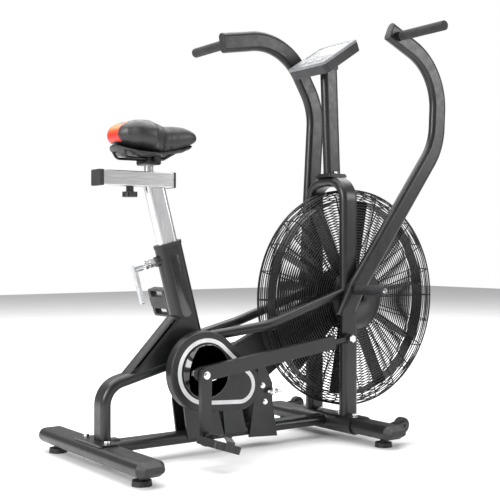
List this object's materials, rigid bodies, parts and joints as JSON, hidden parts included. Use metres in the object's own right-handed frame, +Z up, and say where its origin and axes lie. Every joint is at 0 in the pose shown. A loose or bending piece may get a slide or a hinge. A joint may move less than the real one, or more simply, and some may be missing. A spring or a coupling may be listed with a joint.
{
  "type": "air bike",
  "caption": "Upright exercise bike with a caged fan wheel in front, swinging arm levers tied to the cranks by push rods, a height-adjustable saddle and a small console",
  "frame": {"origin": "on the floor under the middle of the overall box", "axes": "+X forward towards the fan, +Y to the rider's left, +Z up"},
  "size_m": [1.23, 0.624, 1.2532],
  "materials": {
    "frame_paint": "satin",
    "cage_wire": "satin",
    "fan_paint": "satin",
    "black_plastic": "matte",
    "wheel_rubber": "matte",
    "grip_rubber": "matte",
    "chrome": "polished",
    "steel": "satin",
    "alloy": "satin",
    "peg_sleeve": "matte",
    "vinyl": "satin",
    "webbing": "matte",
    "belt_rubber": "matte",
    "pale_band": "satin",
    "console_grey": "satin",
    "screen": "gloss",
    "keys": "matte"
  },
  "bodies": {
    "frame": {"main_frame": "frame_paint", "front_fork": "frame_paint", "side_tubes": "frame_paint", "rear_stabiliser": "frame_paint", "front_stabiliser": "frame_paint", "stabiliser_caps": "black_plastic", "levelling_feet": "black_plastic", "frame_bolts": "chrome", "post_collar": "black_plastic", "clamp_stud": "chrome", "bearings": "steel", "lever_pivots": "chrome", "foot_pegs": "peg_sleeve", "drive_cover": "black_plastic", "drive_cover_back": "black_plastic", "cover_band": "pale_band", "first_belt": "belt_rubber", "tensioner_plates": "frame_paint", "draw_bolt": "chrome", "belt_cover": "black_plastic", "belt_cover_back": "black_plastic", "second_belt": "belt_rubber", "fan_axle": "chrome", "fan_cage_right": "cage_wire", "fan_cage_left": "cage_wire", "console_post": "frame_paint", "console_base": "black_plastic", "console_face": "console_grey", "console_screen": "screen", "console_keys": "keys"},
    "crank": {"crank_spindle": "steel", "crank_arms": "frame_paint", "crank_nuts": "chrome", "crank_pulley": "steel", "pedal_spindles": "steel"},
    "right_pedal": {"pedal_right": "black_plastic", "pedal_strap_right": "webbing"},
    "left_pedal": {"pedal_left": "black_plastic", "pedal_strap_left": "webbing"},
    "right_rod": {"push_rod_right": "frame_paint"},
    "left_rod": {"push_rod_left": "frame_paint"},
    "right_lever": {"lever_right": "frame_paint", "grip_right": "grip_rubber"},
    "left_lever": {"lever_left": "frame_paint", "grip_left": "grip_rubber"},
    "jack": {"jackshaft": "steel"},
    "fan": {"fan_wheel": "fan_paint"},
    "idler": {"idler_roller": "steel"},
    "post": {"seat_post": "alloy", "saddle_rail": "alloy", "rail_caps": "black_plastic"},
    "saddle": {"saddle_slider": "chrome", "saddle_clamp": "steel", "saddle_rails": "chrome", "saddle_shell": "black_plastic", "saddle_cushion": "vinyl"},
    "knob": {"slider_knob": "black_plastic"},
    "handle": {"clamp_handle": "alloy"},
    "right_wheel": {"transport_wheel_right": "wheel_rubber"},
    "left_wheel": {"transport_wheel_left": "wheel_rubber"}
  },
  "joints": [
    {"name": "fan_spin", "type": "hinge", "parent": "frame", "child": "fan", "pos_m": [0.284, -0.004, 0.416], "axis": [0, 1, 0], "continuous": true},
    {"name": "crank_turn", "type": "hinge", "parent": "frame", "child": "crank", "pos_m": [-0.297, 0, 0.237], "axis": [0, 1, 0], "continuous": true},
    {"name": "jackshaft_turn", "type": "hinge", "parent": "frame", "child": "jack", "pos_m": [-0.186, 0, 0.19], "axis": [0, 1, 0], "continuous": true},
    {"name": "idler_turn", "type": "hinge", "parent": "frame", "child": "idler", "pos_m": [-0.069, 0.052, 0.175], "axis": [0, 1, 0], "continuous": true},
    {"name": "right_rod_pin", "type": "hinge", "parent": "crank", "child": "right_rod", "pos_m": [-0.34, -0.136, 0.237], "axis": [0, 1, 0], "continuous": true},
    {"name": "left_rod_pin", "type": "hinge", "parent": "crank", "child": "left_rod", "pos_m": [-0.254, 0.136, 0.237], "axis": [0, 1, 0], "continuous": true},
    {"name": "right_pedal_spin", "type": "hinge", "parent": "crank", "child": "right_pedal", "pos_m": [-0.34, -0.216, 0.065], "axis": [0, 1, 0], "continuous": true},
    {"name": "left_pedal_spin", "type": "hinge", "parent": "crank", "child": "left_pedal", "pos_m": [-0.254, 0.216, 0.409], "axis": [0, 1, 0], "continuous": true},
    {"name": "right_lever_swing", "type": "hinge", "parent": "frame", "child": "right_lever", "pos_m": [0.211, -0.112, 0.445], "axis": [0, 1, 0], "range_deg": [-34, 0]},
    {"name": "left_lever_swing", "type": "hinge", "parent": "frame", "child": "left_lever", "pos_m": [0.211, 0.112, 0.445], "axis": [0, 1, 0], "range_deg": [0, 34]},
    {"name": "post_height", "type": "slide", "parent": "frame", "child": "post", "axis": [-0.2588, 0, 0.9659], "range_m": [-0.06, 0.12]},
    {"name": "saddle_shift", "type": "slide", "parent": "post", "child": "saddle", "axis": [1, 0, 0], "range_m": [-0.04, 0.02]},
    {"name": "knob_turn", "type": "hinge", "parent": "saddle", "child": "knob", "pos_m": [-0.478, 0, 0.72], "axis": [0, 0, 1], "continuous": true},
    {"name": "clamp_turn", "type": "hinge", "parent": "frame", "child": "handle", "pos_m": [-0.42663, 0, 0.52242], "axis": [-0.9659, 0, -0.2588], "continuous": true},
    {"name": "right_wheel_spin", "type": "hinge", "parent": "frame", "child": "right_wheel", "pos_m": [0.277, -0.243, 0.056], "axis": [0, 1, 0], "continuous": true},
    {"name": "left_wheel_spin", "type": "hinge", "parent": "frame", "child": "left_wheel", "pos_m": [0.277, 0.243, 0.056], "axis": [0, 1, 0], "continuous": true}
  ],
  "couplings": [
    {"joint": "crank_turn", "follows": "fan_spin", "ratio": 0.14907},
    {"joint": "jackshaft_turn", "follows": "fan_spin", "ratio": 0.52174},
    {"joint": "idler_turn", "follows": "fan_spin", "ratio": -1.5},
    {"joint": "right_rod_pin", "follows": "fan_spin", "ratio": -0.14907},
    {"joint": "left_rod_pin", "follows": "fan_spin", "ratio": -0.14907},
    {"joint": "left_lever_swing", "follows": "right_lever_swing", "ratio": -1}
  ]
}
